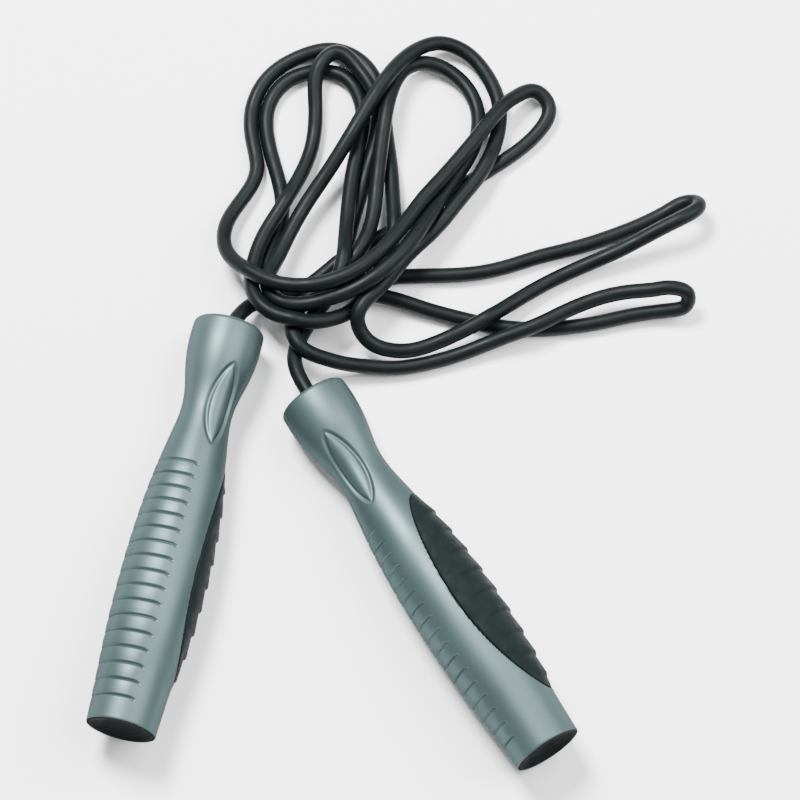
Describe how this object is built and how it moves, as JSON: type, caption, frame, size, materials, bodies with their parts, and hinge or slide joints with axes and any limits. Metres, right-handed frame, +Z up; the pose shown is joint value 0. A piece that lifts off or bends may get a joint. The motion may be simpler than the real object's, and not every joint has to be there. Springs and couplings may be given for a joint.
{
  "type": "jump rope",
  "caption": "Skipping rope: a round rubber rope lying in loose overlapping loops between two moulded, waisted handles that spin freely on ball bearings.",
  "frame": {"origin": "on the surface the object lies on, under the middle of the box round the two handles", "axes": "+Z up; +Y from the handles' feet toward the heap of rope; +X to the right as the left handle lies on the left"},
  "size_m": [0.2387, 0.3021, 0.0332],
  "materials": {
    "rope": "matte black, soft sheen",
    "shell": "satin silver-grey metallic paint",
    "pad": "matte black, ridged",
    "cap": "satin black",
    "spring": "dark spring steel",
    "steel": "polished bearing steel",
    "brass": "turned",
    "washer": "natural nylon",
    "crimp": "crimped steel"
  },
  "bodies": {
    "rope_and_swivels": {"rope": "rope", "left_bearing_inner_ring": "steel", "left_swivel_sleeve": "brass", "left_thrust_washer": "washer", "left_rope_stopper": "crimp", "right_bearing_inner_ring": "steel", "right_swivel_sleeve": "brass", "right_thrust_washer": "washer", "right_rope_stopper": "crimp"},
    "left_handle": {"left_handle_shell": "shell", "left_grip_pad": "pad", "left_end_cap": "cap", "left_retaining_ring": "spring", "left_bearing_outer_ring": "steel"},
    "right_handle": {"right_handle_shell": "shell", "right_grip_pad": "pad", "right_end_cap": "cap", "right_retaining_ring": "spring", "right_bearing_outer_ring": "steel"},
    "left_ball_set": {"left_ball_cage": "brass", "left_bearing_ball_1": "steel", "left_bearing_ball_2": "steel", "left_bearing_ball_3": "steel", "left_bearing_ball_4": "steel", "left_bearing_ball_5": "steel", "left_bearing_ball_6": "steel", "left_bearing_ball_7": "steel"},
    "right_ball_set": {"right_ball_cage": "brass", "right_bearing_ball_1": "steel", "right_bearing_ball_2": "steel", "right_bearing_ball_3": "steel", "right_bearing_ball_4": "steel", "right_bearing_ball_5": "steel", "right_bearing_ball_6": "steel", "right_bearing_ball_7": "steel"}
  },
  "joints": [
    {"name": "left_handle_spin", "type": "hinge", "parent": "rope_and_swivels", "child": "left_handle", "pos_m": [-0.04264, 0.07773, 0.01431], "axis": [0.2342, 0.9718, -0.0273], "continuous": true},
    {"name": "right_handle_spin", "type": "hinge", "parent": "rope_and_swivels", "child": "right_handle", "pos_m": [-0.00296, 0.05011, 0.01427], "axis": [-0.5357, 0.8442, -0.0181], "continuous": true},
    {"name": "left_ball_set_roll", "type": "hinge", "parent": "rope_and_swivels", "child": "left_ball_set", "pos_m": [-0.04264, 0.07773, 0.01431], "axis": [0.2342, 0.9718, -0.0273], "continuous": true},
    {"name": "right_ball_set_roll", "type": "hinge", "parent": "rope_and_swivels", "child": "right_ball_set", "pos_m": [-0.00296, 0.05011, 0.01427], "axis": [-0.5357, 0.8442, -0.0181], "continuous": true}
  ],
  "couplings": [
    {"joint": "left_ball_set_roll", "follows": "left_handle_spin", "ratio": 0.5636},
    {"joint": "right_ball_set_roll", "follows": "right_handle_spin", "ratio": 0.5636}
  ]
}
